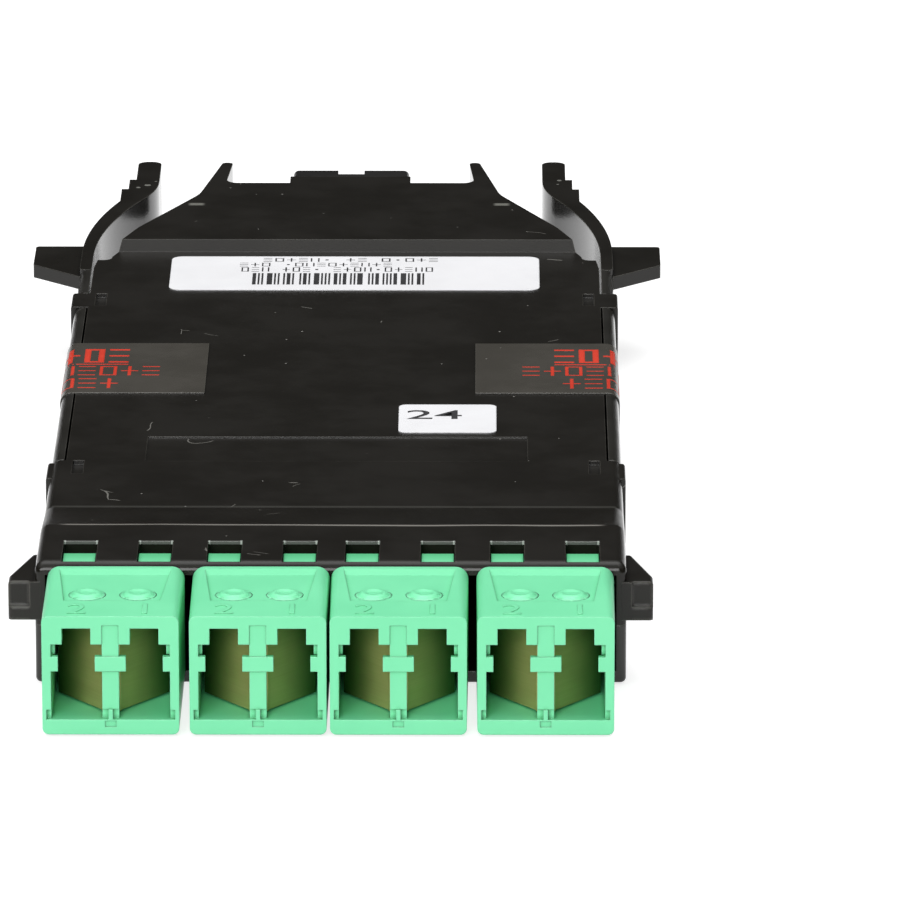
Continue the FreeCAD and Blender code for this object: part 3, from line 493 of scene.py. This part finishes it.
black = (0.0092, 0.0082, 0.0064, 1.0)
black_cloud = (0.0118, 0.0106, 0.0084, 1.0)
# Edge colours: partly wear and partly painted highlight along the edges.
black_edge_wear_and_highlight = (0.100, 0.095, 0.083, 1.0)
side_edge_wear_and_highlight = (0.150, 0.145, 0.130, 1.0)
# The cover's marks are painted highlights: the crest, the window rims, the ear roots and the ramp's end.
cover_black = moulded_plastic("cover_black", black, black_cloud, black_edge_wear_and_highlight, 0.32, specular=0.28,
                              wall_rough=0.13, hair_share=0.77, specks=0.16,
                              marks=((crest_highlight, (0.22, 0.21, 0.19, 1.0)),
                                     (window_rim_highlight, (0.42, 0.46, 0.42, 1.0)),
                                     (ear_glint, (0.17, 0.17, 0.15, 1.0)),
                                     (ramp_end_highlight, (0.10, 0.10, 0.09, 1.0))),
                              rounding=stop_rounding)
tray_black = moulded_plastic("tray_black", (0.0150, 0.0142, 0.0118, 1.0), (0.0190, 0.0180, 0.0150, 1.0),
                             side_edge_wear_and_highlight, 0.32, specular=0.45, radius=0.00014, wall_rough=0.12,
                             hair_share=0.74)
# The arms' mark paints small highlights on the thumb pads.
arm_black = moulded_plastic("arm_black", black, black_cloud, side_edge_wear_and_highlight, 0.30, specular=0.30,
                            radius=0.00014, wall_rough=0.13,
                            marks=((pad_glints, (0.20, 0.20, 0.18, 1.0)),))
black_insert = moulded_plastic("black_insert", (0.0100, 0.0095, 0.0090, 1.0),
                               (0.0130, 0.0120, 0.0115, 1.0), (0.025, 0.024, 0.022, 1.0), 0.36)
# The green's mark is painted shade on the lugs under the windows.
green_shell = moulded_plastic("green_shell", (0.205, 0.800, 0.430, 1.0), (0.222, 0.825, 0.450, 1.0),
                              (0.34, 0.92, 0.58, 1.0), 0.36, specks=0.0, radius=0.00016,
                              shade=(0.03, 0.30, 0.10, 1.0),
                              marks=((lug_shade, (0.055, 0.42, 0.16, 1.0)),))
pale_plastic = moulded_plastic("pale_plastic", (0.70, 0.70, 0.66, 1.0), (0.74, 0.74, 0.70, 1.0),
                               (0.80, 0.80, 0.77, 1.0), 0.35)
ceramic = moulded_plastic("ceramic", (0.84, 0.83, 0.78, 1.0), (0.87, 0.86, 0.82, 1.0),
                          (0.90, 0.89, 0.86, 1.0), 0.12, depth=0.1)
jacket = moulded_plastic("jacket", (0.05, 0.36, 0.44, 1.0), (0.06, 0.40, 0.48, 1.0),
                         (0.10, 0.45, 0.52, 1.0), 0.5)
plastics = (cover_black, tray_black, arm_black, black_insert, green_shell, pale_plastic, ceramic, jacket)
print("plastics:", [plastic.name for plastic in plastics])

# %% [markdown]
# ## Spring leaf
# Each port is closed by a thin spring leaf of stainless steel. Rolling leaves fine
# lines along the strip, so the relief is a noise squeezed hard in height. Its colour
# is a painted reflection of the green hood round it, warm olive in front, with painted
# shade turning it dark green deeper in the port.

# %% Spring leaf
def brushed_steel(name):
    """Rolled strip with fine lines; painted reflection warm in front, painted shade green behind."""
    material, tree, shader = blank_material(name)
    place = add(tree, "ShaderNodeTexCoord").outputs["Object"]
    squeezed = add(tree, "ShaderNodeMapping", {"Vector": place, "Scale": (120.0, 120.0, 6000.0)})
    lines = add(tree, "ShaderNodeTexNoise",
                {"Vector": squeezed.outputs["Vector"], "Scale": 1.0, "Detail": 3.0})
    cloud = add(tree, "ShaderNodeTexNoise", {"Vector": place, "Scale": 210.0, "Detail": 2.0})
    depth = add(tree, "ShaderNodeSeparateXYZ", {"Vector": place}).outputs["Y"]
    depth = math_node(tree, "ADD", depth, math_node(tree, "MULTIPLY", cloud.outputs[0], 0.9 * mm))
    # Painted reflection and shade: warm olive in front, darker green deeper in the port.
    behind = smooth_step(tree, depth, leaf_front, leaf_rear)
    warm = mix_colour(tree, lines.outputs[0], (0.41, 0.36, 0.13, 1.0), (0.54, 0.48, 0.20, 1.0))
    colour = mix_colour(tree, behind, warm, (0.020, 0.085, 0.012, 1.0))
    gloss = smooth_step(tree, lines.outputs[0], 0.3, 0.7, 0.34, 0.46)
    bump = add(tree, "ShaderNodeBump",
               {"Height": lines.outputs[0], "Strength": 0.25, "Distance": 0.00001})
    tree.links.new(colour, shader.inputs["Base Color"])
    tree.links.new(gloss, shader.inputs["Roughness"])
    tree.links.new(bump.outputs["Normal"], shader.inputs["Normal"])
    shader.inputs["Metallic"].default_value = 0.55
    return material


leaf_low, leaf_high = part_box("adapter_1_shutter_left")
leaf_front = leaf_low[1] + 1.0 * mm
leaf_rear = leaf_high[1] + 0.6 * mm
spring_steel = brushed_steel("spring_steel")
print("finish:", spring_steel.name)

# %% [markdown]
# ## Labels and seals
# The labels are coated paper, white with slow changes of tone. The seals are a dark
# film, smoother than the housing, with a lighter line along the cut edge that is
# partly the film's own edge and partly painted highlight, as on every sheet here.
# Both are thin sheets, and so is dried ink, so the plastic's recipe serves them with
# a coarser and flatter relief.

# %% Labels and seals
def sheet_finish(name, base, cloud, edge, rough, specks=0.02):
    """Paper, film or ink with a lighter cut edge, partly painted highlight."""
    return moulded_plastic(name, base, cloud, edge, rough, grain=2600.0, depth=0.25, specks=specks)


white_paper = sheet_finish("white_paper", (0.85, 0.85, 0.87, 1.0), (0.88, 0.88, 0.90, 1.0),
                           (0.90, 0.90, 0.92, 1.0), 0.45)
seal_film = sheet_finish("seal_film", (0.058, 0.054, 0.046, 1.0), (0.068, 0.063, 0.054, 1.0),
                         (0.15, 0.145, 0.125, 1.0), 0.26, specks=0.16)
black_ink = sheet_finish("black_ink", (0.020, 0.020, 0.022, 1.0), (0.035, 0.035, 0.038, 1.0),
                         (0.05, 0.05, 0.05, 1.0), 0.5, specks=0.0)
red_ink = sheet_finish("red_ink", (0.60, 0.034, 0.014, 1.0), (0.68, 0.044, 0.018, 1.0),
                       (0.70, 0.07, 0.03, 1.0), 0.42, specks=0.0)
print("finishes:", white_paper.name, seal_film.name, black_ink.name, red_ink.name)

# %% [markdown]
# ## Finishes on the solids
# Each CAD node keeps its shape and gets its finish by its record slot, so that one
# table dresses all the pieces. The tray and the arms share the cover's slot but not
# its painted highlights, so a second table names them.

# %% Finishes on the solids
finish_of_slot = {"black_housing": cover_black, "black_insert": black_insert, "green_shell": green_shell,
                  "spring_leaf": spring_steel, "ceramic": ceramic, "plug_body": pale_plastic,
                  "jacket": jacket, "white_label": white_paper, "seal_film": seal_film}
finish_of_node = {"base_tray": tray_black, "release_arm_left": arm_black, "release_arm_right": arm_black}
for entry in frame["record"]["subparts"]:
    mesh = frame["nodes"][entry["node"]].data
    mesh.materials.clear()
    mesh.materials.append(finish_of_node.get(entry["node"], finish_of_slot[entry["material_slot"]]))
print("dressed", len(frame["nodes"]), "nodes")

# %% [markdown]
# ## Print
# Ink lies on a label as a film a hundredth of a millimetre thick. Each mark here is
# a thin plate, because a plate keeps a crisp edge at any distance. A strip of bars
# and rows of small plain shapes stand where a printer puts its code and words, so
# the print says nothing. A row is drawn flat along a line, and one function lays it
# on the film.

# %% Marks on a flat sheet
ink = 0.01 * mm


def plate(form, left, right, front, back, pieces=1):
    """Closed plate as thick as the ink, its foot on z = 0, in pieces so that it can bend."""
    made = bmesh.ops.create_grid(form, x_segments=pieces, y_segments=1, size=0.5)["verts"]
    bmesh.ops.scale(form, vec=(right - left, back - front, 1.0), verts=made)
    bmesh.ops.translate(form, vec=((left + right) / 2, (front + back) / 2, 0.0), verts=made)
    faces = list(dict.fromkeys(face for vertex in made for face in vertex.link_faces))
    raised = bmesh.ops.extrude_face_region(form, geom=faces, use_keep_orig=True)["geom"]
    top = [item for item in raised if isinstance(item, bmesh.types.BMVert)]
    bmesh.ops.translate(form, vec=(0.0, 0.0, ink), verts=top)


def glyph(form, kind, left, right, front, back, stroke, pieces):
    """One plain shape: a frame, two posts, three bars, a cross or a small square."""
    high = stroke * 0.8
    middle = (left + right - stroke) / 2
    level = (front + back - high) / 2
    if kind in "fp":
        plate(form, left, left + stroke, front, back, pieces)
        plate(form, right - stroke, right, front, back, pieces)
    if kind == "f":
        plate(form, left + stroke, right - stroke, front, front + high, pieces)
        plate(form, left + stroke, right - stroke, back - high, back, pieces)
    if kind == "s":
        plate(form, middle - stroke / 2, middle + stroke * 1.5, level - high, level + high * 2, pieces)
    if kind == "b":
        for start in (front, level, back - high):
            plate(form, left, right, start, start + high, pieces)
    if kind == "c":
        plate(form, middle, middle + stroke, front, back, pieces)
        plate(form, left, middle, level, level + high, pieces)
        plate(form, middle + stroke, right, level, level + high, pieces)


def glyph_row(form, kinds, span, rise, stroke, gap, pieces=1):
    """A row of plain shapes, one for each letter of kinds; a space leaves a gap."""
    start, end = span
    step = (end - start) / len(kinds)
    for place, kind in enumerate(kinds):
        if kind != " ":
            left = start + place * step
            glyph(form, kind, left, left + step - gap, rise[0], rise[1], stroke, pieces)


def print_rows(form, rows, pieces=1):
    """Rows of shapes from a table whose lengths are in mm."""
    for kinds, span, rise, stroke, gap in rows:
        glyph_row(form, kinds, [value * mm for value in span], [value * mm for value in rise],
                  stroke * mm, gap * mm, pieces)


def print_piece(name, form, material):
    """A finished piece from a form: faces outwards, dressed, and riding on the housing."""
    bmesh.ops.recalc_face_normals(form, faces=form.faces)
    mesh = bpy.data.meshes.new(name)
    form.to_mesh(mesh)
    form.free()
    mesh.materials.append(material)
    made = bpy.data.objects.new(name, mesh)
    bpy.context.scene.collection.objects.link(made)
    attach(made, "housing")
    print(name, len(mesh.polygons), "faces")


def place_form(form, x, y, z):
    """Moves the whole form to its place, so that its object stays at the origin."""
    bmesh.ops.translate(form, vec=(x, y, z), verts=form.verts)


print("ink is", round(ink / mm, 3), "mm thick")

# %% [markdown]
# ## The identification label
# A real code label has a strip of bars and a few rows of words. Here the bars take
# their widths in turn from two short lists, one for bars and one for gaps, so that
# the strip has a code's rhythm and holds no code. The strip's length is shared out
# in equal units, and each row's shapes share the row's length.

# %% The identification label
label_low, label_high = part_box("id_label")
strip_left = 8.5 * mm
strip_length = 18.1 * mm
strip_front, strip_back = 2.0 * mm, 6.3 * mm
bar_widths = (2, 1, 1, 3, 1, 1, 1, 2, 1, 1, 2, 1, 3, 1, 1, 1, 2,
              1, 2, 1, 1, 3, 1, 1, 2, 1, 1, 1, 2, 3, 1, 1, 2, 1)
gap_widths = (1, 1, 2, 1, 1, 2, 1, 1, 3, 1, 1, 2, 1)
unit = strip_length / (sum(bar_widths) + sum(gap_widths) / len(gap_widths) * len(bar_widths))
# Shapes, left and right end, front and back, stroke, gap between shapes.
label_rows = (("fbp cfbs bcfpsfcbpf", (7.3, 27.4), (6.9, 8.5), 0.15, 0.30),
              ("bcf sfpbfcbpcb", (7.1, 23.1), (8.9, 10.2), 0.14, 0.28),
              ("bfcbps cb fsfcb", (9.5, 27.9), (10.7, 12.0), 0.15, 0.32))
form = bmesh.new()
left = strip_left
for place, width in enumerate(bar_widths):
    plate(form, left, left + width * unit, strip_front, strip_back)
    left += (width + gap_widths[place % len(gap_widths)]) * unit
print_rows(form, label_rows)
place_form(form, label_low[0], label_low[1], label_high[2])
print_piece("id_label_print", form, black_ink)

# %% [markdown]
# ## Numbers
# The small label carries a plain number, and each port has its number moulded on
# the top of its adapter. Blender's own font gives the figures: the text becomes a
# mesh first and is then scaled and set in place, so that the object itself stays at
# the origin.

# %% Numbers
def figures(text, width, height, thick):
    """A form with figures of the given size, its lower left corner at the origin."""
    curve = bpy.data.curves.new("figures", "FONT")
    curve.body = text
    curve.extrude = 0.5
    curve.resolution_u = 4
    curve.offset = 0.004
    source = bpy.data.objects.new("figures", curve)
    bpy.context.scene.collection.objects.link(source)
    bpy.context.view_layer.update()
    mesh = bpy.data.meshes.new_from_object(source.evaluated_get(bpy.context.evaluated_depsgraph_get()))
    bpy.data.objects.remove(source)
    form = bmesh.new()
    form.from_mesh(mesh)
    bpy.data.meshes.remove(mesh)
    bmesh.ops.remove_doubles(form, verts=form.verts, dist=1e-5)
    low = Vector([min(vertex.co[axis] for vertex in form.verts) for axis in range(3)])
    high = Vector([max(vertex.co[axis] for vertex in form.verts) for axis in range(3)])
    bmesh.ops.translate(form, vec=-low, verts=form.verts)
    size = high - low
    bmesh.ops.scale(form, vec=(width / size.x, height / size.y, thick / size.z), verts=form.verts)
    return form


tag_low, tag_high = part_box("small_label")
tag_left, tag_front = 0.8 * mm, 4.6 * mm    # the number's corner on the small label
form = figures("24", 5.4 * mm, 3.0 * mm, ink)
place_form(form, tag_low[0] + tag_left, tag_low[1] + tag_front, tag_high[2])
print_piece("small_label_figures", form, black_ink)

port_pitch = 6.25 * mm
figure_back = 0.8 * mm      # behind the adapter's front
figure_width = {"2": 1.7 * mm, "1": 0.45 * mm}
figure_height = 2.9 * mm
figure_thick = 0.09 * mm
figure_sink = 0.02 * mm     # into the adapter's top, so that it stands on no gap
for shell in (1, 2, 3, 4):
    shell_low, shell_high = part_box("adapter_%d_front_shell" % shell)
    middle = (shell_low[0] + shell_high[0]) / 2
    for figure, side in (("2", -1), ("1", 1)):
        width = figure_width[figure]
        form = figures(figure, width, figure_height, figure_thick)
        x = middle + side * port_pitch / 2 - width / 2
        place_form(form, x, shell_low[1] + figure_back, shell_high[2] - figure_sink)
        print_piece("adapter_%d_figure_%s" % (shell, figure), form, green_shell)

# %% [markdown]
# ## Press marks
# Two low round marks stand on the recessed panel of each adapter, dished in the
# middle. A profile spun once round the upright axis gives the foot, the rim, its
# slopes and the dish in one step. The profile starts and ends on the axis, so the
# form is closed.

# %% Press marks
# Radius and height of each point, in mm.
mark_profile = ((0.0, 0.0), (1.75, 0.0), (1.45, 0.07), (1.22, 0.26), (1.02, 0.33), (0.86, 0.33),
                (0.45, 0.215), (0.0, 0.21))
mark_pitch = 4.7 * mm
mark_back = 7.2 * mm        # behind the adapter's front
mark_steps = 40
panel_sink = 0.22 * mm      # panel below the adapter's top
for shell in (1, 2, 3, 4):
    shell_low, shell_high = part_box("adapter_%d_front_shell" % shell)
    middle = (shell_low[0] + shell_high[0]) / 2
    for number, side in ((1, -1), (2, 1)):
        form = bmesh.new()
        points = [form.verts.new((radius * mm, 0.0, height * mm)) for radius, height in mark_profile]
        edges = [form.edges.new(pair) for pair in zip(points, points[1:])]
        bmesh.ops.spin(form, geom=points + edges, axis=(0, 0, 1), cent=(0, 0, 0), steps=mark_steps,
                       angle=math.tau, use_merge=True)
        bmesh.ops.remove_doubles(form, verts=form.verts, dist=1e-7)
        x = middle + side * mark_pitch / 2
        place_form(form, x, shell_low[1] + mark_back, shell_high[2] - panel_sink)
        print_piece("adapter_%d_mark_%d" % (shell, number), form, green_shell)

# %% [markdown]
# ## Print on the seals
# A seal folds over the deck's edge, and so does its print. The rows are drawn flat
# on the unfolded film and then every point beyond the fold is turned round the
# edge's rounding and down the side. Shapes that cross the fold are cut into strips
# so that they bend with it.

# %% Print on the seals
seal_low, seal_high = (Vector(corner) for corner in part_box("seal_right"))
fold_radius = 1.12 * mm     # outer face of the film round the deck's edge
flat_length = seal_high.x - fold_radius - seal_low.x
seal_rows = (("bfcpb", (7.9, 20.2), (10.6, 15.4), 0.62, 0.45),
             ("bcfbpsb", (4.7, 19.6), (6.1, 9.3), 0.34, 0.4),
             ("cbfcb", (8.7, 19.6), (1.6, 5.0), 0.36, 0.4))
rule_left, rule_right, rule_front, rule_back = 7.9 * mm, 20.0 * mm, 9.85 * mm, 10.15 * mm
strips = 4                  # pieces of a shape, and of the long rule, that bend at the fold
rule_strips = 24


def fold(point):
    """Where a point of the unfolded film, or above it, lies on the right seal."""
    along = point.x
    turn = min(max((along - flat_length) / fold_radius, 0.0), math.pi / 2)
    down = max(along - flat_length - fold_radius * math.pi / 2, 0.0)
    radius = fold_radius + point.z
    centre_x = seal_low.x + flat_length
    x = centre_x + radius * math.sin(turn) + min(along - flat_length, 0.0)
    z = seal_high.z - fold_radius + radius * math.cos(turn) - down
    return Vector((x, seal_low.y + point.y, z))


def seal_print(name, side):
    """Red rows and a rule on one seal. The left seal's print mirrors the right one's."""
    form = bmesh.new()
    print_rows(form, seal_rows, strips)
    plate(form, rule_left, rule_right, rule_front, rule_back, rule_strips)
    for vertex in form.verts:
        vertex.co = fold(vertex.co)
    if side < 0:
        bmesh.ops.scale(form, vec=(-1.0, 1.0, 1.0), verts=form.verts)
    print_piece(name, form, red_ink)


seal_print("seal_right_print", 1)
seal_print("seal_left_print", -1)
